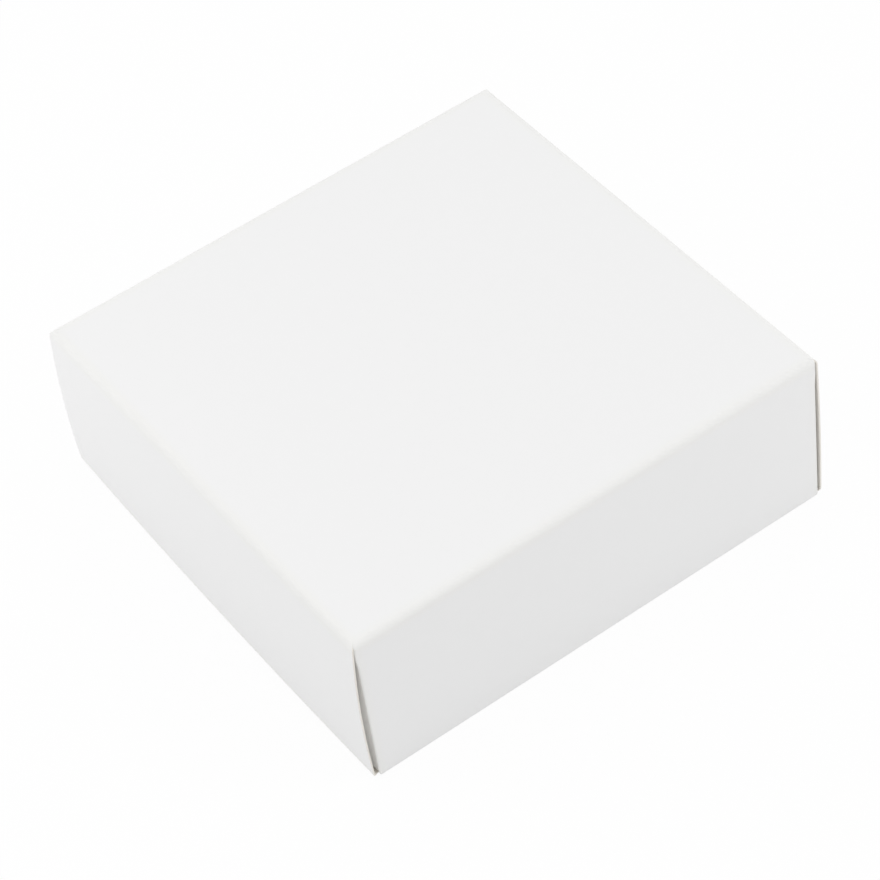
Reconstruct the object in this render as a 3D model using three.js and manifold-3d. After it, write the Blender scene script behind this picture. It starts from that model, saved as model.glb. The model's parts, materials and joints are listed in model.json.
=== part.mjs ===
// Surprise gift box: a plain white folding carton whose full-depth lid slides down over a matching tray.
// Millimetres, +Z up. The origin is on the table, under the middle of the box.
// Each half is folded from one die-cut blank, and each panel between two creases is one mesh.
// The left and right walls roll over a rim into double walls, which hold the corner flaps of the
// plain front and back walls. The lid's rolled walls spring outwards, and the tray's stay straight.
import * as THREE from 'three';
import { mergeVertices } from 'three/addons/utils/BufferGeometryUtils.js';
import Module from 'manifold-3d';

const wasm = await Module();
wasm.setup();

// Overall size of the closed box
const lidWidth = 155; // X, between the creases of the lid's rolled walls
const lidDepth = 152; // Y, between the outer faces of the lid's plain walls
const boxHeight = 54.8; // from the table to the top of the lid

// Board, creases and air
const boardThickness = 0.5;
const layerGap = 0.3; // between boards that lie against each other
const slideClearance = 0.6; // between the lid and the tray, on each side
const tableClearance = 0.4; // under the lid's lower edge
const creaseRadius = 1.8; // outer radius where a wall folds from the large panel
const cornerRadius = 0.8; // outer radius where a flap folds from a plain wall
const reliefRadius = 0.5; // round relief at the large panel's corners, where the creases meet

// Rolled walls
const rolledWallLean = 0.6; // how far out the lid's rolled wall stands at its rim
const rolledWallBow = 0.9; // how far it swells between its crease and its rim
const rolledWallBelly = 0.9; // how much further out its rim is at mid length than at the ends
const rolledWallInset = 0.3; // from the plain wall's face to the rolled wall's cut end
const innerWallFootGap = 0.5; // from the inner wall's free edge to the large panel
const innerWallTaper = 1.5; // how much the inner wall draws in at each end of its free edge
const innerWallRound = 4; // corner radius of its free edge

// Corner flaps
const flapLength = 42; // beyond the corner crease
const flapTaper = 4; // how much each long edge draws in towards the free end
const flapRound = 6; // corner radius of the free end
const flapRimClearance = 1.2; // from the flap to the level of the rim's free edge

// Board finish
const boardColour = 0xf4f4f2;
const boardRoughness = 0.8;
const curveSegments = 6;
const bellySteps = 10; // along a wall that bellies out

const rolledStack = 3 * boardThickness + 2 * layerGap; // outer wall, flap and inner wall

// The tray's plain walls reach up into the round inside of the lid's creases, and stop a gap short of it
const creaseInside = creaseRadius - boardThickness;
const wallInCrease = Math.max(0, creaseInside - slideClearance);
const roomInCrease = Math.max(0, (creaseInside - layerGap) ** 2 - wallInCrease ** 2);
const wallUnderLid = creaseRadius - Math.sqrt(roomInCrease);

const lid = {
  width: lidWidth,
  depth: lidDepth,
  height: boxHeight - tableClearance,
  plainHeight: boxHeight - tableClearance,
  lean: rolledWallLean,
  bow: rolledWallBow,
  belly: rolledWallBelly,
};
const tray = {
  width: lidWidth - 2 * (rolledStack + slideClearance),
  depth: lidDepth - 2 * (boardThickness + slideClearance),
  height: boxHeight - boardThickness - layerGap,
  plainHeight: boxHeight - wallUnderLid,
  lean: 0,
  bow: 0,
  belly: 0,
};

const right = new THREE.Vector3(1, 0, 0);
const back = new THREE.Vector3(0, 1, 0);
const up = new THREE.Vector3(0, 0, 1);

// Outlines pushed along X are drawn in Y and Z, along Y in X and Z, and along Z in X and Y
const drawnAcross = {
  x: new THREE.Matrix4().makeBasis(back, up, right),
  y: new THREE.Matrix4().makeBasis(right, up, back.clone().negate()),
  z: new THREE.Matrix4(),
};

// Pushes an outline along an axis, half the length to each side of the origin
function prism(outline, axis, length, steps = 1) {
  const geometry = new THREE.ExtrudeGeometry(outline, {
    depth: length,
    steps,
    bevelEnabled: false,
    curveSegments,
  });
  geometry.translate(0, 0, -length / 2);
  return geometry.applyMatrix4(drawnAcross[axis]);
}

function solidOf(geometry) {
  const bare = geometry.clone();
  bare.deleteAttribute('normal');
  bare.deleteAttribute('uv');
  const merged = mergeVertices(bare);
  const mesh = new wasm.Mesh({
    numProp: 3,
    vertProperties: new Float32Array(merged.attributes.position.array),
    triVerts: new Uint32Array(merged.index.array),
  });
  return new wasm.Manifold(mesh);
}

// A panel is its folded profile, trimmed to the outline that the die cuts
function trimmed(folded, dieCut) {
  const { vertProperties, triVerts } = solidOf(folded).intersect(solidOf(dieCut)).getMesh();
  const geometry = new THREE.BufferGeometry();
  geometry.setAttribute('position', new THREE.BufferAttribute(new Float32Array(vertProperties), 3));
  geometry.setIndex(new THREE.BufferAttribute(new Uint32Array(triVerts), 1));
  geometry.computeVertexNormals();
  return geometry;
}

function piece(name, geometry) {
  const material = new THREE.MeshStandardMaterial({
    color: boardColour,
    roughness: boardRoughness,
    metalness: 0,
  });
  const mesh = new THREE.Mesh(geometry, material);
  mesh.name = name;
  return mesh;
}

// The pieces below are drawn for a half that stands open upwards, with its large panel at z = 0:
// the left rolled wall, the front plain wall and the front left flap.

function rimRadius(half) {
  return (half.lean + rolledStack) / 2;
}

function rimLevel(half) {
  return half.height - rimRadius(half);
}

// A strip of a rolled side, pushed along Y and moved outwards along its length, most at mid length.
// share(x, z) is how much of the belly a point takes: none at the fixed creases, all of it at the rim
function bellied(profile, half, length, share) {
  const strip = prism(profile, 'y', length, half.belly > 0 ? bellySteps : 1);
  const points = strip.attributes.position;
  for (let i = 0; i < points.count; i += 1) {
    const along = (2 * points.getY(i)) / half.depth;
    const out = half.belly * (1 - along ** 2) * share(points.getX(i), points.getZ(i));
    points.setX(i, points.getX(i) - out);
  }
  strip.computeVertexNormals();
  return strip;
}

// The large panel ends where the wall creases start, with a round relief at each corner
function largePanel(half) {
  const x = half.width / 2 - creaseRadius;
  const y = half.depth / 2 - creaseRadius;
  const outline = new THREE.Shape();
  outline.absarc(x, -y, reliefRadius, Math.PI, Math.PI / 2, true);
  outline.absarc(x, y, reliefRadius, -Math.PI / 2, -Math.PI, true);
  outline.absarc(-x, y, reliefRadius, 0, -Math.PI / 2, true);
  outline.absarc(-x, -y, reliefRadius, Math.PI / 2, 0, true);
  return prism(outline, 'z', boardThickness).translate(0, 0, boardThickness / 2);
}

// The outer layer of a rolled wall: its crease, then a shallow swell up to the rim
function rolledWall(half) {
  const crease = creaseRadius - half.width / 2;
  const foot = -half.width / 2;
  const rim = foot - half.lean;
  const level = rimLevel(half);
  const swell = (foot + rim) / 2 - 2 * half.bow;
  const middle = (creaseRadius + level) / 2;
  const profile = new THREE.Shape();
  profile.absarc(crease, creaseRadius, creaseRadius, -Math.PI / 2, -Math.PI, true);
  profile.quadraticCurveTo(swell, middle, rim, level);
  profile.lineTo(rim + boardThickness, level);
  profile.quadraticCurveTo(swell + boardThickness, middle, foot + boardThickness, creaseRadius);
  profile.absarc(crease, creaseRadius, creaseRadius - boardThickness, -Math.PI, -Math.PI / 2, false);
  const length = half.depth - 2 * rolledWallInset;
  const rise = level - creaseRadius;
  return bellied(profile, half, length, (x, z) => Math.max(0, z - creaseRadius) / rise);
}

// The narrow strip between the two rim creases, bent into a half round
function rolledRim(half) {
  const radius = rimRadius(half);
  const centre = radius - half.lean - half.width / 2;
  const level = rimLevel(half);
  const profile = new THREE.Shape();
  profile.absarc(centre, level, radius, Math.PI, 0, true);
  profile.absarc(centre, level, radius - boardThickness, 0, Math.PI, false);
  const length = half.depth - 2 * (boardThickness + layerGap);
  const innerEnd = centre + radius;
  return bellied(profile, half, length, (x) => (innerEnd - x) / (2 * radius));
}

// The inner layer, which hangs from the rim on a round nose and stops short of the large panel
function innerWall(half) {
  const innerFace = rolledStack - half.width / 2;
  const nose = innerFace - boardThickness / 2;
  const pivot = rimLevel(half) - layerGap - boardThickness / 2;
  const foot = boardThickness + innerWallFootGap;
  const profile = new THREE.Shape();
  profile.moveTo(innerFace, foot);
  profile.absarc(nose, pivot, boardThickness / 2, 0, Math.PI, false);
  profile.lineTo(innerFace - boardThickness, foot);

  const end = half.depth / 2 - Math.max(cornerRadius, boardThickness + layerGap);
  const drawn = end - innerWallTaper;
  const outline = new THREE.Shape();
  outline.moveTo(-end, half.height);
  outline.lineTo(-drawn, foot + innerWallRound);
  outline.quadraticCurveTo(-drawn, foot, innerWallRound - drawn, foot);
  outline.lineTo(drawn - innerWallRound, foot);
  outline.quadraticCurveTo(drawn, foot, drawn, foot + innerWallRound);
  outline.lineTo(end, half.height);
  return trimmed(prism(profile, 'y', half.depth), prism(outline, 'x', half.width));
}

// A plain wall is one layer. Its crease runs on past the corner folds, up to the rolled wall's crease
function plainWall(half) {
  const crease = creaseRadius - half.depth / 2;
  const outerFace = -half.depth / 2;
  const profile = new THREE.Shape();
  profile.absarc(crease, creaseRadius, creaseRadius, -Math.PI / 2, -Math.PI, true);
  profile.lineTo(outerFace, half.plainHeight);
  profile.lineTo(outerFace + boardThickness, half.plainHeight);
  profile.absarc(crease, creaseRadius, creaseRadius - boardThickness, -Math.PI, -Math.PI / 2, false);

  const creaseEnd = half.width / 2 - creaseRadius - layerGap;
  const wallEnd = half.width / 2 - boardThickness - layerGap - cornerRadius;
  const outline = new THREE.Shape();
  outline.moveTo(-creaseEnd, 0);
  outline.lineTo(creaseEnd, 0);
  outline.lineTo(creaseEnd, creaseRadius);
  outline.lineTo(wallEnd, creaseRadius);
  outline.lineTo(wallEnd, half.height);
  outline.lineTo(-wallEnd, half.height);
  outline.lineTo(-wallEnd, creaseRadius);
  outline.lineTo(-creaseEnd, creaseRadius);
  return trimmed(prism(profile, 'x', half.width), prism(outline, 'y', half.depth));
}

// A flap turns the corner from its plain wall and lies between the rolled wall's two layers
function cornerFlap(half) {
  const outerFace = boardThickness + layerGap - half.width / 2;
  const foldX = outerFace + cornerRadius;
  const foldY = cornerRadius - half.depth / 2;
  const tip = foldY + flapLength;
  const profile = new THREE.Shape();
  profile.absarc(foldX, foldY, cornerRadius, -Math.PI / 2, -Math.PI, true);
  profile.lineTo(outerFace, tip);
  profile.lineTo(outerFace + boardThickness, tip);
  profile.absarc(foldX, foldY, cornerRadius - boardThickness, -Math.PI, -Math.PI / 2, false);

  const low = creaseRadius + layerGap;
  const high = half.height - flapRimClearance;
  const outline = new THREE.Shape();
  outline.moveTo(-half.depth / 2, low);
  outline.lineTo(foldY, low);
  outline.lineTo(tip - flapRound, low + flapTaper);
  outline.quadraticCurveTo(tip, low + flapTaper, tip, low + flapTaper + flapRound);
  outline.lineTo(tip, high - flapTaper - flapRound);
  outline.quadraticCurveTo(tip, high - flapTaper, tip - flapRound, high - flapTaper);
  outline.lineTo(foldY, high);
  outline.lineTo(-half.depth / 2, high);
  return trimmed(prism(profile, 'z', 2 * half.height), prism(outline, 'x', half.width));
}

// One half of the box. frontTurn says which of its plain walls is at the front of the closed box
function foldedHalf(name, panelName, half, frontTurn) {
  const group = new THREE.Group();
  group.add(piece(`${name}_${panelName}`, largePanel(half)));

  for (const [side, turn] of [['left', 0], ['right', Math.PI]]) {
    const rolledSide = new THREE.Group();
    rolledSide.rotation.z = turn;
    rolledSide.add(piece(`${name}_${side}_wall`, rolledWall(half)));
    rolledSide.add(piece(`${name}_${side}_rim`, rolledRim(half)));
    rolledSide.add(piece(`${name}_${side}_inner_wall`, innerWall(half)));
    group.add(rolledSide);
  }

  for (const [side, turn] of [['front', frontTurn], ['back', Math.PI - frontTurn]]) {
    const plainSide = new THREE.Group();
    plainSide.rotation.z = turn;
    plainSide.add(piece(`${name}_${side}_wall`, plainWall(half)));
    for (const hand of [1, -1]) {
      const end = (turn === 0) === (hand === 1) ? 'left' : 'right';
      const flap = piece(`${name}_${side}_${end}_flap`, cornerFlap(half));
      flap.scale.x = hand;
      plainSide.add(flap);
    }
    group.add(plainSide);
  }
  return group;
}

const giftBox = new THREE.Group();
giftBox.add(foldedHalf('tray', 'bottom_panel', tray, 0));

// The lid is the same form turned over, so the wall that was at its back comes to the front
const turnedLid = foldedHalf('lid', 'top_panel', lid, Math.PI);
turnedLid.rotation.x = Math.PI;
turnedLid.position.z = boxHeight;
giftBox.add(turnedLid);

export default giftBox;
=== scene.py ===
"""Surprise gift box: a plain white two-piece folding carton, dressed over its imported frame.

Each panel of the lid and the tray is a sheet of board, folded, rolled and cut in millimetres as in a
half that stands open upwards, then turned to its place and brought to metres.
"""

import json
import math
from types import SimpleNamespace

import bmesh
import bpy
from mathutils import Matrix, Quaternion, Vector
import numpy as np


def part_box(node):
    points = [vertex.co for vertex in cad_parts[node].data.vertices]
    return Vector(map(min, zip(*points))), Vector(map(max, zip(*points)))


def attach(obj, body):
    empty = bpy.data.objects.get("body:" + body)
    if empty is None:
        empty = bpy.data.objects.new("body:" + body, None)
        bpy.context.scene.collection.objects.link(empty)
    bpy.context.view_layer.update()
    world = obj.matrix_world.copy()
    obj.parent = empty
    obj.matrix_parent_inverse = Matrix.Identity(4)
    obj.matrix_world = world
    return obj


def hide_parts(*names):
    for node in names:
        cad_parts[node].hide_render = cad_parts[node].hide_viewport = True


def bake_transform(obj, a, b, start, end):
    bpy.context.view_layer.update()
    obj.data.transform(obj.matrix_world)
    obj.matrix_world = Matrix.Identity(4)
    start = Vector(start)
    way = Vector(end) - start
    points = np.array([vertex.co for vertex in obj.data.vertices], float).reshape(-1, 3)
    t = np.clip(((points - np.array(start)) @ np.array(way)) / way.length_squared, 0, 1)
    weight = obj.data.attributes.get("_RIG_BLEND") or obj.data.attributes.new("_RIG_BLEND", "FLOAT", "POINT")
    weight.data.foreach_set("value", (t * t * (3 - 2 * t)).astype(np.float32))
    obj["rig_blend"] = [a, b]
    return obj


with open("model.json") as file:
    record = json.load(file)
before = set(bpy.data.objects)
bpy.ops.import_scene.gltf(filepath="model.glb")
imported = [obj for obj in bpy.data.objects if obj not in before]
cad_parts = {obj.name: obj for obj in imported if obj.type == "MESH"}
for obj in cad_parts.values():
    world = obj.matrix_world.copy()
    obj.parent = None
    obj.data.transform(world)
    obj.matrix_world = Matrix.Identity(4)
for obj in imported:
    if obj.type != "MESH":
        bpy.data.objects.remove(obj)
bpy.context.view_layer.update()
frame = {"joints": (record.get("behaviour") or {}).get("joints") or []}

MM = 0.001

# The board and its folds, in millimetres
BOARD = 0.5
LAYER_GAP = 0.3
CREASE_RADIUS = 1.8
CORNER_RADIUS = 0.55
CREASE_STEPS = 10
RIM_STEPS = 16
ROUND_STEPS = 8
FOLD_SPREAD = 2.2  # how far the strained board reaches beside a fold
CUT_EDGE_ROUND = 0.05
CUT_EDGE_STEPS = 2
SHARP_ANGLE = math.radians(20)
JOIN_SLACK = 0.06  # how far off its plane the end of a sheet may lie where it runs into the next
NEAR = 1e-4  # how far apart two places may lie and still count as one
ALONG = 0.999  # the share of its length that an edge must run along an axis to count as along it

# Rolled walls
LID_LAYER_GAP = 0.45
LID_LEAN = 0.6  # how far the rim stands out at the ends of a wall
LID_LEFT_BOW = 0.9  # how much further a wall springs out halfway up
LID_RIGHT_BOW = 0.35
LID_BELLY = 0.9  # how much further the rim stands out halfway along
BELLY_STEPS = 24
SWELL_STEPS = 20
ROLLED_WALL_INSET = 0.05
INNER_WALL_FOOT_GAP = 0.5
INNER_WALL_TAPER = 1.5
INNER_WALL_ROUND = 4.0
HINGE_REACH = 0.55  # how far the soft crease of a hinged inner wall runs above and below its axis
TRAY_HINGE_CUTS = 8

# Plain walls
CREASE_TURN = 0.4  # how far a plain wall's crease turns the corner with its flap
HEAD_SHUT = 3.0  # how far below the crease a corner fold still lies close to its rolled wall
HEAD_OPEN = 8.0  # how far below the crease it has come away to its own place
HEAD_STEPS = 6
LID_RACK = 0.35  # how far the lid's plain walls stand askew at the rim
LID_PLAIN_DROP = 0.3  # how far the lid's plain walls reach past its rims

# Corner flaps
FLAP_LENGTH = 42.0
FLAP_TAPER = 4.0
FLAP_ROUND = 6.0
FLAP_HEAD = 0.5  # how far a flap reaches past the end of its wall's crease
FLAP_RIM_CLEARANCE = 1.2
FLAP_SPRING = 6.0  # how far behind its fold a flap has sprung out to its rolled wall
FLAP_PLAY = 0.15  # the gap left between a sprung flap and its rolled wall
FLAP_STEPS = 8


# Board materials

CLOUD_SCALE = 260
CLOUD_DETAIL = 4
GRAIN_SCALE = 3200
GRAIN_DETAIL = 3
GRAIN_ROUGHNESS = 0.6
GRAIN_DISTORTION = 1.5
BOARD_SPECULAR = 0.25


def new_material(name):
    material = bpy.data.materials.new(name)
    material.use_nodes = True
    nodes = material.node_tree.nodes
    return material, nodes, material.node_tree.links, nodes["Principled BSDF"]


def paper_formation():
    """Cloudy mottling and fine fibre grain of pressed paper, as a tint and a height."""
    group = bpy.data.node_groups.new("paper formation", "ShaderNodeTree")
    face = group.interface
    cloud_size = face.new_socket("Cloud Scale", in_out="INPUT", socket_type="NodeSocketFloat")
    grain_size = face.new_socket("Grain Scale", in_out="INPUT", socket_type="NodeSocketFloat")
    cloud_size.default_value = CLOUD_SCALE
    grain_size.default_value = GRAIN_SCALE
    face.new_socket("Cloud", in_out="OUTPUT", socket_type="NodeSocketFloat")
    face.new_socket("Height", in_out="OUTPUT", socket_type="NodeSocketFloat")
    nodes, links = group.nodes, group.links
    inlet = nodes.new("NodeGroupInput")
    outlet = nodes.new("NodeGroupOutput")
    place = nodes.new("ShaderNodeTexCoord")
    cloud = nodes.new("ShaderNodeTexNoise")
    cloud.inputs["Detail"].default_value = CLOUD_DETAIL
    links.new(place.outputs["Object"], cloud.inputs["Vector"])
    links.new(inlet.outputs["Cloud Scale"], cloud.inputs["Scale"])
    grain = nodes.new("ShaderNodeTexNoise")
    grain.inputs["Detail"].default_value = GRAIN_DETAIL
    grain.inputs["Roughness"].default_value = GRAIN_ROUGHNESS
    grain.inputs["Distortion"].default_value = GRAIN_DISTORTION
    links.new(place.outputs["Object"], grain.inputs["Vector"])
    links.new(inlet.outputs["Grain Scale"], grain.inputs["Scale"])
    links.new(cloud.outputs["Fac"], outlet.inputs["Cloud"])
    links.new(grain.outputs["Fac"], outlet.inputs["Height"])
    return group


def board_material(name, formation, light, dark, fold, roughness, relief):
    """Board in two near shades that drift with its formation, and a third along the folds."""
    material, nodes, links, shader = new_material(name)
    paper = nodes.new("ShaderNodeGroup")
    paper.node_tree = formation
    drift = nodes.new("ShaderNodeMix")
    drift.data_type = "RGBA"
    drift.inputs["A"].default_value = (*dark, 1)
    drift.inputs["B"].default_value = (*light, 1)
    links.new(paper.outputs["Cloud"], drift.inputs["Factor"])
    folded = nodes.new("ShaderNodeAttribute")
    folded.attribute_name = "fold"
    crease = nodes.new("ShaderNodeMix")
    crease.data_type = "RGBA"
    crease.inputs["B"].default_value = (*fold, 1)
    links.new(folded.outputs["Fac"], crease.inputs["Factor"])
    links.new(drift.outputs["Result"], crease.inputs["A"])
    links.new(crease.outputs["Result"], shader.inputs["Base Color"])
    shader.inputs["Roughness"].default_value = roughness
    shader.inputs["Specular IOR Level"].default_value = BOARD_SPECULAR
    bump = nodes.new("ShaderNodeBump")
    bump.inputs["Strength"].default_value = 1
    bump.inputs["Distance"].default_value = relief * MM
    links.new(paper.outputs["Height"], bump.inputs["Height"])
    links.new(bump.outputs["Normal"], shader.inputs["Normal"])
    return material


def board_finishes():
    formation = paper_formation()
    coated = board_material(
        "coated board face", formation,
        light=(0.884, 0.884, 0.884), dark=(0.876, 0.876, 0.876), fold=(0.876, 0.874, 0.861),
        roughness=0.62, relief=0.004,
    )
    reverse = board_material(
        "uncoated board reverse", formation,
        light=(0.86, 0.835, 0.785), dark=(0.83, 0.80, 0.745), fold=(0.835, 0.80, 0.74),
        roughness=0.9, relief=0.012,
    )
    cut = board_material(
        "board cut edge", formation,
        light=(0.87, 0.845, 0.79), dark=(0.81, 0.78, 0.72), fold=(0.84, 0.81, 0.75),
        roughness=0.95, relief=0.02,
    )
    return coated, reverse, cut


# Folding tools

def unit(t):
    """Holds a number between 0 and 1."""
    return min(1.0, max(0.0, t))


def ease(t):
    """Rises smoothly from 0 to 1, and stays there on either side."""
    t = unit(t)
    return t * t * (3 - 2 * t)


def new_sheet():
    bm = bmesh.new()
    bm.verts.layers.float.new("fold")
    return bm


def bend(bm, start, centre, axis, angle, steps):
    """Spins the last corner of a profile round a fold. Returns the new last corner."""
    spun = bmesh.ops.spin(bm, geom=[start], cent=centre, axis=axis, angle=angle, steps=steps)
    return next(part for part in spun["geom_last"] if isinstance(part, bmesh.types.BMVert))


def run_on(bm, start, way):
    """Carries a profile straight on. Returns the new last corner."""
    grown = bmesh.ops.extrude_vert_indiv(bm, verts=[start])
    bmesh.ops.translate(bm, verts=grown["verts"], vec=way)
    return grown["verts"][0]


def pull(bm, edges, way):
    """Pulls edges sideways into a sheet. Returns the far edges."""
    pulled = bmesh.ops.extrude_edge_only(bm, edges=edges)
    moved = [part for part in pulled["geom"] if isinstance(part, bmesh.types.BMVert)]
    bmesh.ops.translate(bm, verts=moved, vec=way)
    return [part for part in pulled["geom"] if isinstance(part, bmesh.types.BMEdge)]


def reach_out(bm, edges, axis, side, reach):
    """Pulls edges outwards along an axis, each corner by its own reach. Returns the far edges."""
    far = pull(bm, edges, (0, 0, 0))
    for v in {v for e in far for v in e.verts}:
        v.co[axis] += side * reach(v.co)
    return far


def edges_along(bm, axis, longer_than=0.0):
    """The edges that run along one axis, by number."""
    found = []
    for edge in bm.edges:
        way = edge.verts[1].co - edge.verts[0].co
        if abs(way[axis]) > ALONG * way.length and way.length > longer_than:
            found.append(edge)
    return found


def edges_at(edges, axis, place):
    """Those of the edges that lie at one place on an axis."""
    return [e for e in edges if all(abs(v.co[axis] - place) < NEAR for v in e.verts)]


def divide(bm, edges, steps):
    bmesh.ops.subdivide_edges(bm, edges=edges, cuts=steps - 1, use_grid_fill=True)


def score(bm, axis, *places):
    """Draws lines of edges across a sheet, at the given places on an axis."""
    across = Vector((0, 0, 0))
    across[axis] = 1
    for place in places:
        bmesh.ops.bisect_plane(
            bm, geom=bm.verts[:] + bm.edges[:] + bm.faces[:], plane_co=across * place, plane_no=across,
        )


def round_corners(bm, corners, radius):
    bmesh.ops.bevel(
        bm, geom=corners, offset=radius, offset_type="OFFSET", affect="VERTICES",
        segments=ROUND_STEPS, profile=0.5, material=-1,
    )


def mark_folds(bm, distance):
    """Marks how strained the board is: 1 in a fold, falling to 0 a short way off it."""
    fold = bm.verts.layers.float["fold"]
    for v in bm.verts:
        v[fold] = 1 - unit(distance(v.co) / FOLD_SPREAD)


def square_off(face, joins):
    """Puts the end of a sheet flat on the plane, as (axis, place), where it runs into the next sheet."""
    for axis, place in joins:
        if all(abs(v.co[axis] - place) < JOIN_SLACK for v in face.verts):
            for v in face.verts:
                v.co[axis] = place
            return True
    return False


def thicken(bm, facing, joins):
    """Gives a sheet its thickness behind the coated face, and rounds the edges that the die cut."""
    bmesh.ops.recalc_face_normals(bm, faces=bm.faces)
    bm.normal_update()
    coated = list(bm.faces)
    if sum(f.normal.dot(facing) * f.calc_area() for f in coated) < 0:
        bmesh.ops.reverse_faces(bm, faces=coated)
    grown = bmesh.ops.solidify(bm, geom=coated, thickness=BOARD)
    reverse = {part for part in grown["geom"] if isinstance(part, bmesh.types.BMFace)}
    cut = {f for f in bm.faces if f not in reverse} - set(coated)
    for face in reverse:
        face.material_index = 1
    for face in cut:
        face.material_index = 2
    joined = {f for f in cut if square_off(f, joins)}
    bm.normal_update()
    sharp = [
        e for e in bm.edges
        if e.calc_face_angle(0) > SHARP_ANGLE and any(f in cut for f in e.link_faces)
        and not any(f in joined for f in e.link_faces)
    ]
    bmesh.ops.bevel(
        bm, geom=sharp, offset=CUT_EDGE_ROUND, offset_type="OFFSET", affect="EDGES",
        segments=CUT_EDGE_STEPS, profile=0.5, material=-1, clamp_overlap=True,
    )
    bm.normal_update()
    for face in bm.faces:
        face.smooth = True
    for edge in bm.edges:
        edge.smooth = edge.calc_face_angle(0) < SHARP_ANGLE


def settle(bm, half, node, turn=0.0):
    """Turns a finished sheet to its place on the box and makes it a piece that stands for its node."""
    place = half.place @ Matrix.Rotation(turn, 4, "Z")
    bmesh.ops.transform(bm, matrix=Matrix.Scale(MM, 4) @ place, verts=bm.verts)
    mesh = bpy.data.meshes.new(f"{node}_board")
    bm.to_mesh(mesh)
    bm.free()
    for material in finishes:
        mesh.materials.append(material)
    piece = bpy.data.objects.new(f"{node}_board", mesh)
    bpy.context.collection.objects.link(piece)
    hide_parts(node)
    return piece


# The panels of one half, standing open upwards with its large panel at z = 0

def rolled_stack(half):
    return 3 * BOARD + 2 * half.layer_gap


def rim_radius(half):
    return (half.lean + rolled_stack(half)) / 2


def rim_level(half):
    return half.height - rim_radius(half)


def large_panel(half):
    """The flat panel between the four creases."""
    x = half.width / 2 - CREASE_RADIUS
    y = half.depth / 2 - CREASE_RADIUS
    bm = new_sheet()
    bmesh.ops.create_grid(bm, x_segments=1, y_segments=1, size=1)
    bmesh.ops.scale(bm, vec=(x, y, 1), verts=bm.verts)
    score(bm, 0, FOLD_SPREAD - x, x - FOLD_SPREAD)
    score(bm, 1, FOLD_SPREAD - y, y - FOLD_SPREAD)
    mark_folds(bm, lambda co: min(x - abs(co.x), y - abs(co.y)))
    thicken(bm, Vector((0, 0, -1)), [(0, x), (0, -x), (1, y), (1, -y)])
    return bm


def height_share(half, z):
    """How far up a rolled wall a height is: 0 at its crease, 1 at its rim."""
    return unit((z - CREASE_RADIUS) / (rim_level(half) - CREASE_RADIUS))


def belly_at(half, y):
    return half.belly * (1 - (2 * y / half.depth) ** 2)


def swell_at(half, co):
    """How far a rolled wall springs outwards at a place: a lean, a bow and a belly along its length."""
    s = height_share(half, co.z)
    return (half.lean + belly_at(half, co.y)) * s + 4 * half.bow * s * (1 - s)


def rolled_wall(half):
    """The outer layer of the left wall: a crease with mitred ends, then a shallow swell to the rim."""
    crease = CREASE_RADIUS - half.width / 2
    crease_end = half.depth / 2 - CREASE_RADIUS
    wall_end = half.depth / 2 - ROLLED_WALL_INSET
    level = rim_level(half)
    rise = level - CREASE_RADIUS
    bm = new_sheet()
    start = bm.verts.new((crease, -crease_end, 0))
    top = bend(bm, start, (crease, -crease_end, CREASE_RADIUS), (0, 1, 0), math.pi / 2, CREASE_STEPS)
    run_on(bm, top, (0, 0, rise))
    pull(bm, list(bm.edges), (0, 2 * crease_end, 0))
    divide(bm, edges_along(bm, 1), BELLY_STEPS)
    divide(bm, edges_along(bm, 2, rise / 2), SWELL_STEPS)
    for side in (-1, 1):
        end = edges_at(bm.edges, 1, side * crease_end)
        reach_out(bm, end, 1, side, lambda co: min(crease - co.x, wall_end - crease_end))
    bmesh.ops.remove_doubles(bm, verts=bm.verts, dist=NEAR)
    score(bm, 2, CREASE_RADIUS + FOLD_SPREAD, level - FOLD_SPREAD)
    mark_folds(bm, lambda co: min(co.z - CREASE_RADIUS, level - co.z))
    for v in bm.verts:
        v.co.x -= swell_at(half, v.co)
    thicken(bm, Vector((-1, 0, 0)), [(0, crease), (2, level)])
    return bm


def rolled_rim(half):
    """The narrow strip over the left wall, bent into a half round, with its ends cut on a slant."""
    radius = rim_radius(half)
    outer = -half.width / 2 - half.lean
    centre = outer + radius
    level = rim_level(half)
    end = half.depth / 2 - BOARD - LAYER_GAP
    wall_end = half.depth / 2 - ROLLED_WALL_INSET
    bm = new_sheet()
    start = bm.verts.new((outer, -end, level))
    bend(bm, start, (centre, -end, level), (0, 1, 0), math.pi, RIM_STEPS)
    pull(bm, list(bm.edges), (0, 2 * end, 0))
    divide(bm, edges_along(bm, 1), BELLY_STEPS)
    mark_folds(bm, lambda co: 0.0)
    for v in bm.verts:
        if abs(v.co.y) > end - NEAR:
            slant = max(0.0, (centre - v.co.x) / radius)
            v.co.y += math.copysign(slant * (wall_end - end), v.co.y)
        v.co.x -= belly_at(half, v.co.y) * (centre + radius - v.co.x) / (2 * radius)
    thicken(bm, Vector((0, 0, 1)), [(2, level)])
    return bm


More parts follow.
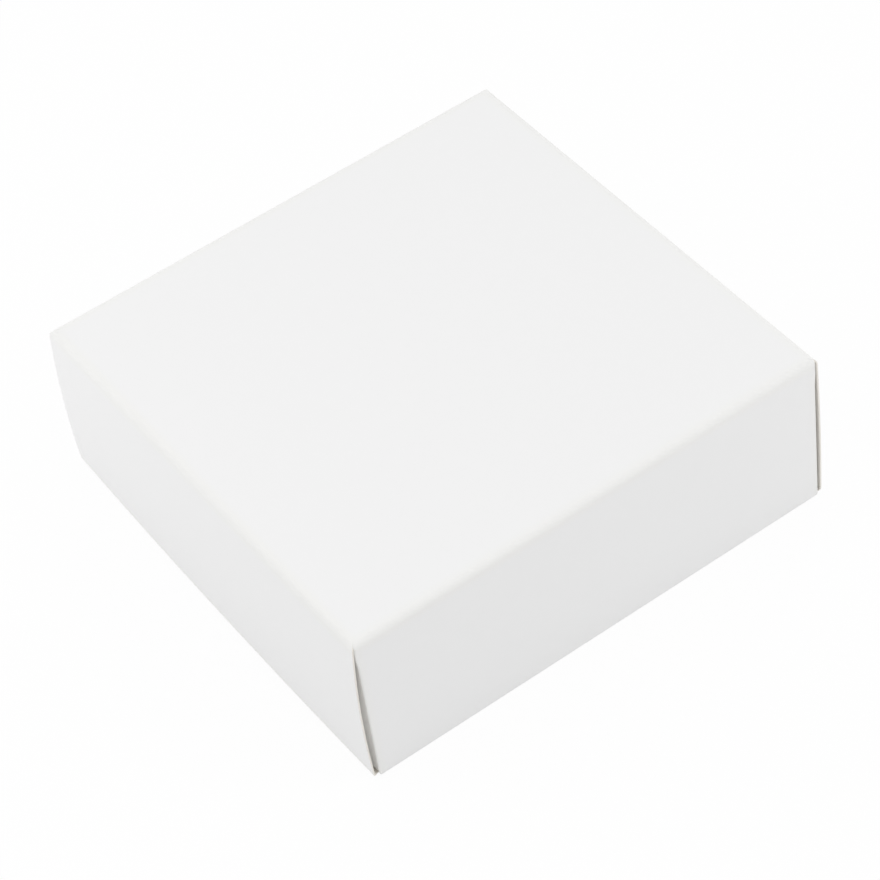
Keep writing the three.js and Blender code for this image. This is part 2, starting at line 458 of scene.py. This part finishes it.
def inner_wall(half):
    """The inner layer of the left wall, cut with round corners where it stops short of the panel."""
    face = rolled_stack(half) - half.width / 2
    level = rim_level(half)
    foot = BOARD + INNER_WALL_FOOT_GAP
    end = half.depth / 2 - max(CORNER_RADIUS, BOARD + LAYER_GAP)
    bm = new_sheet()
    start = bm.verts.new((face, -end, level))
    run_on(bm, start, (0, 0, foot - level))
    pull(bm, list(bm.edges), (0, 2 * end, 0))
    corners = [v for v in bm.verts if v.co.z < level / 2]
    for v in corners:
        v.co.y -= math.copysign(INNER_WALL_TAPER, v.co.y)
    round_corners(bm, corners, INNER_WALL_ROUND)
    for step in range(1, half.hinge_cuts + 1):
        score(bm, 2, level - 2 * HINGE_REACH * step / half.hinge_cuts)
    score(bm, 2, level - FOLD_SPREAD)
    mark_folds(bm, lambda co: level - co.z)
    thicken(bm, Vector((1, 0, 0)), [(2, level)])
    return bm


def head_reach(half, z):
    """How far a corner fold stands out to its rolled wall, near the head of the cut between them."""
    opened = ease((z - CREASE_RADIUS - HEAD_SHUT) / (HEAD_OPEN - HEAD_SHUT))
    return (half.layer_gap - FLAP_PLAY) * (1 - opened)


def score_head(bm):
    """Draws lines of edges where a corner fold comes away from its rolled wall."""
    for step in range(HEAD_STEPS + 1):
        score(bm, 2, CREASE_RADIUS + HEAD_SHUT + (HEAD_OPEN - HEAD_SHUT) * step / HEAD_STEPS)


def shape_corner(bm, half, outward):
    """Draws a corner fold out at its head, and pushes its wall askew, most of all at the rim."""
    for v in bm.verts:
        v.co.x += math.copysign(outward(v.co), v.co.x) - half.rack * height_share(half, v.co.z)


def spring_out(bm, half, hand, fold_y):
    """Lets a flap spring from its fold until it lies just inside the outer layer of its rolled wall."""
    for v in bm.verts:
        room = half.layer_gap - FLAP_PLAY + swell_at(half, v.co)
        room -= hand * half.rack * height_share(half, v.co.z)
        v.co.x -= hand * room * ease((v.co.y - fold_y) / FLAP_SPRING)


def plain_wall(half):
    """The single front wall. Its crease has mitred ends, which start to turn with the corner folds."""
    crease = CREASE_RADIUS - half.depth / 2
    crease_end = half.width / 2 - CREASE_RADIUS
    wall_end = half.width / 2 - BOARD - half.layer_gap - CORNER_RADIUS
    bm = new_sheet()
    start = bm.verts.new((-crease_end, crease, 0))
    top = bend(bm, start, (-crease_end, crease, CREASE_RADIUS), (-1, 0, 0), math.pi / 2, CREASE_STEPS)
    run_on(bm, top, (0, 0, half.plain_height - CREASE_RADIUS))
    pull(bm, list(bm.edges), (2 * crease_end, 0, 0))
    for side in (-1, 1):
        end = edges_at(bm.edges, 0, side * crease_end)
        far = reach_out(bm, end, 0, side, lambda co: min(crease - co.y, wall_end - crease_end))
        arc = [e for e in far if all(v.co.z < CREASE_RADIUS + NEAR for v in e.verts)]
        turned = reach_out(
            bm, arc, 0, side, lambda co: min(crease - co.y - abs(co.x) + crease_end, CREASE_TURN),
        )
        for v in {v for e in turned for v in e.verts}:
            past = max(0.0, abs(v.co.x) - wall_end)
            v.co.y += CORNER_RADIUS - math.sqrt(CORNER_RADIUS ** 2 - past ** 2)
    bmesh.ops.remove_doubles(bm, verts=bm.verts, dist=NEAR)
    score(bm, 0, FOLD_SPREAD - wall_end, wall_end - FOLD_SPREAD)
    score(bm, 2, CREASE_RADIUS + FOLD_SPREAD)
    score_head(bm)
    mark_folds(bm, lambda co: min(co.z - CREASE_RADIUS, wall_end - abs(co.x)))
    thicken(bm, Vector((0, -1, 0)), [(1, crease), (0, wall_end), (0, -wall_end)])

    def outward(co):
        share = unit((abs(co.x) - wall_end) / FOLD_SPREAD + 1)
        to_mitre = crease - co.y - abs(co.x) + crease_end
        return min(share * head_reach(half, co.z), max(0.0, to_mitre))

    shape_corner(bm, half, outward)
    return bm


def corner_flap(half, hand):
    """The flap that turns the corner from the front wall: hand 1 is its left end, -1 its right."""
    outer = hand * (BOARD + half.layer_gap - half.width / 2)
    fold_x = outer + hand * CORNER_RADIUS
    fold_y = CORNER_RADIUS - half.depth / 2
    low = CREASE_RADIUS - FLAP_HEAD
    high = half.height - FLAP_RIM_CLEARANCE
    bm = new_sheet()
    start = bm.verts.new((fold_x, -half.depth / 2, low))
    turned = bend(bm, start, (fold_x, fold_y, low), (0, 0, -hand), math.pi / 2, CREASE_STEPS)
    run_on(bm, turned, (0, FLAP_LENGTH, 0))
    for edge in pull(bm, list(bm.edges), (0, 0, high - low)):
        for v in edge.verts:
            folded = unit((fold_y - v.co.y) / CORNER_RADIUS)
            v.co.z = high + folded * (half.plain_height - high)
    tips = [v for v in bm.verts if v.co.y > fold_y + FLAP_LENGTH / 2]
    for v in tips:
        v.co.z += math.copysign(FLAP_TAPER, (low + high) / 2 - v.co.z)
    round_corners(bm, tips, FLAP_ROUND)
    for step in range(1, FLAP_STEPS + 1):
        score(bm, 1, fold_y + FLAP_SPRING * step / FLAP_STEPS)
        score(bm, 2, low + (high - low) * step / (FLAP_STEPS + 1))
    score_head(bm)
    mark_folds(bm, lambda co: co.y - fold_y)
    spring_out(bm, half, hand, fold_y)
    thicken(bm, Vector((-hand, 0, 0)), [(0, fold_x)])
    shape_corner(bm, half, lambda co: head_reach(half, co.z) * (1 - ease((co.y - fold_y) / FLAP_SPRING)))
    return bm


# Both halves

def half_of(
    name, panel, place, layer_gap, hinge_cuts,
    lean=0.0, bow=0.0, belly=0.0, rack=0.0, plain_drop=0.0,
):
    """Sizes of one half, read from its nodes and brought to millimetres."""
    panel_low, panel_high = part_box(f"{name}_{panel}")
    rim_low, rim_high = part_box(f"{name}_left_rim")
    wall_low, wall_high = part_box(f"{name}_front_wall")
    return SimpleNamespace(
        name=name,
        panel=panel,
        place=place,
        width=(panel_high.x - panel_low.x) / MM + 2 * CREASE_RADIUS,
        depth=(panel_high.y - panel_low.y) / MM + 2 * CREASE_RADIUS,
        height=(max(panel_high.z, rim_high.z) - min(panel_low.z, rim_low.z)) / MM,
        plain_height=(wall_high.z - wall_low.z) / MM + plain_drop,
        layer_gap=layer_gap,
        hinge_cuts=hinge_cuts,
        lean=lean,
        bow=bow,
        belly=belly,
        rack=rack,
    )


def fold_half(half, right_bow, front_turn):
    """Every panel of one half. front_turn says which of its plain walls is at the front of the box."""
    ends = {"left": half, "right": SimpleNamespace(**{**vars(half), "bow": right_bow})}
    panels = {f"{half.name}_{half.panel}": settle(large_panel(half), half, f"{half.name}_{half.panel}")}
    for side, turn in (("left", 0.0), ("right", math.pi)):
        for part, make in (("wall", rolled_wall), ("rim", rolled_rim), ("inner_wall", inner_wall)):
            node = f"{half.name}_{side}_{part}"
            panels[node] = settle(make(ends[side]), half, node, turn)
    for side, turn in (("front", front_turn), ("back", math.pi - front_turn)):
        node = f"{half.name}_{side}_wall"
        panels[node] = settle(plain_wall(half), half, node, turn)
        for hand in (1, -1):
            end = "left" if (turn == 0) == (hand == 1) else "right"
            node = f"{half.name}_{side}_{end}_flap"
            panels[node] = settle(corner_flap(ends[end], hand), half, node, turn)
    return panels


def hang_tray(panels, half):
    """The tray stands still, and its inner walls bend on the soft creases under their rims."""
    level = rim_level(half) * MM
    for node, piece in panels.items():
        if node.endswith("inner_wall"):
            fold = next(j for j in frame["joints"] if j["child"] == node.removesuffix("_wall"))
            x = fold["pos_m"][0]
            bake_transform(piece, "tray", fold["child"], (x, 0, level), (x, 0, level - 2 * HINGE_REACH * MM))
        else:
            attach(piece, "tray")


finishes = board_finishes()
box_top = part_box("lid_top_panel")[1].z / MM
turned_over = Matrix.Translation((0, 0, box_top)) @ Matrix.Rotation(math.pi, 4, "X")
lid = half_of(
    "lid", "top_panel", turned_over, LID_LAYER_GAP, hinge_cuts=0,
    lean=LID_LEAN, bow=LID_LEFT_BOW, belly=LID_BELLY, rack=LID_RACK, plain_drop=LID_PLAIN_DROP,
)
tray = half_of("tray", "bottom_panel", Matrix.Identity(4), LAYER_GAP, hinge_cuts=TRAY_HINGE_CUTS)
for lid_panel in fold_half(lid, LID_RIGHT_BOW, math.pi).values():
    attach(lid_panel, "lid")
hang_tray(fold_half(tray, 0.0, 0.0), tray)


# Camera at the photograph's angle, in millimetres and degrees

CAMERA_AZIMUTH = -29.56
CAMERA_ELEVATION = 46.40
CAMERA_ROLL = -8.54
CAMERA_DISTANCE = 874.5
CAMERA_LENS = 126.08
SENSOR_WIDTH = 36
CLIP_NEAR = 10
CLIP_FAR = 50000
BOX_CENTRE = Vector((0, 0, 27.8))
AIM = Vector((-5.39, -10.21, 27.8))


def photograph_camera():
    azimuth = math.radians(CAMERA_AZIMUTH)
    elevation = math.radians(CAMERA_ELEVATION)
    away = Vector((
        math.sin(azimuth) * math.cos(elevation),
        -math.cos(azimuth) * math.cos(elevation),
        math.sin(elevation),
    ))
    eye = BOX_CENTRE + away * CAMERA_DISTANCE
    data = bpy.data.cameras.new("camera")
    data.lens = CAMERA_LENS
    data.sensor_width = SENSOR_WIDTH
    data.clip_start = CLIP_NEAR * MM
    data.clip_end = CLIP_FAR * MM
    camera = bpy.data.objects.new("camera", data)
    bpy.context.collection.objects.link(camera)
    camera.location = eye * MM
    camera.rotation_mode = "QUATERNION"
    roll = Quaternion((0, 0, 1), math.radians(CAMERA_ROLL))
    camera.rotation_quaternion = (AIM - eye).to_track_quat("-Z", "Y") @ roll
    bpy.context.scene.camera = camera


# Floor and light

WORLD_LIGHT = 0.65
FLOOR_SIZE = 8.0
FLOOR_DROP = 0.0001  # keeps the floor off the underside of the tray
FLOOR_COLOUR = (0.92, 0.92, 0.92, 1)
FLOOR_SHADOW_SHARE = 0.06


def camera_sees(nodes, links):
    """A mask of 1 for what the camera, a gloss or a clear thing looks at, and 0 for plain light."""
    path = nodes.new("ShaderNodeLightPath")
    either = nodes.new("ShaderNodeMath")
    either.operation = "MAXIMUM"
    links.new(path.outputs["Is Camera Ray"], either.inputs[0])
    links.new(path.outputs["Is Glossy Ray"], either.inputs[1])
    any_of = nodes.new("ShaderNodeMath")
    any_of.operation = "MAXIMUM"
    links.new(either.outputs[0], any_of.inputs[0])
    links.new(path.outputs["Is Transmission Ray"], any_of.inputs[1])
    return any_of.outputs[0]


def white_floor():
    bm = bmesh.new()
    bmesh.ops.create_grid(bm, x_segments=1, y_segments=1, size=FLOOR_SIZE / 2)
    mesh = bpy.data.meshes.new("floor")
    bm.to_mesh(mesh)
    bm.free()
    floor = bpy.data.objects.new("floor", mesh)
    floor.location.z = -FLOOR_DROP
    bpy.context.collection.objects.link(floor)
    material, nodes, links, shader = new_material("white floor")
    shader.inputs["Base Color"].default_value = FLOOR_COLOUR
    shader.inputs["Roughness"].default_value = 1
    shader.inputs["Specular IOR Level"].default_value = 0
    glow = nodes.new("ShaderNodeEmission")
    share = nodes.new("ShaderNodeMath")
    share.operation = "MULTIPLY"
    share.inputs[1].default_value = 1 - FLOOR_SHADOW_SHARE
    links.new(camera_sees(nodes, links), share.inputs[0])
    mix = nodes.new("ShaderNodeMixShader")
    links.new(share.outputs[0], mix.inputs[0])
    links.new(shader.outputs[0], mix.inputs[1])
    links.new(glow.outputs[0], mix.inputs[2])
    links.new(mix.outputs[0], nodes["Material Output"].inputs["Surface"])
    mesh.materials.append(material)


def studio_world():
    world = bpy.data.worlds.new("studio")
    bpy.context.scene.world = world
    world.use_nodes = True
    nodes, links = world.node_tree.nodes, world.node_tree.links
    background = nodes["Background"]
    background.inputs["Color"].default_value = (1, 1, 1, 1)
    level = nodes.new("ShaderNodeMix")
    level.inputs["A"].default_value = WORLD_LIGHT
    level.inputs["B"].default_value = 1
    links.new(camera_sees(nodes, links), level.inputs["Factor"])
    links.new(level.outputs["Result"], background.inputs["Strength"])


def soft_lamp(name, place, size, power):
    """A square soft box, placed in metres and turned to the middle of the box."""
    data = bpy.data.lights.new(name, "AREA")
    data.shape = "SQUARE"
    data.size = size
    data.energy = power
    lamp = bpy.data.objects.new(name, data)
    bpy.context.collection.objects.link(lamp)
    lamp.location = place
    lamp.rotation_mode = "QUATERNION"
    lamp.rotation_quaternion = (BOX_CENTRE * MM - Vector(place)).to_track_quat("-Z", "Y")


photograph_camera()
white_floor()
studio_world()
soft_lamp("overhead soft box", (0, 0, 1.5), 1.5, 2.15)
soft_lamp("high back right soft box", (0.7, 0.7, 0.9), 0.8, 1.77)
soft_lamp("high front right soft box", (0.6, -0.6, 0.8), 0.7, 1.88)
soft_lamp("high left soft box", (-0.4, 0, 0.5), 0.4, 0.41)
soft_lamp("low front right soft box", (0.55, -0.5, 0.18), 0.3, 0.44)
soft_lamp("low back left soft box", (-0.45, 0.45, 0.2), 0.35, 0.70)
bpy.context.scene.view_settings.view_transform = "Standard"
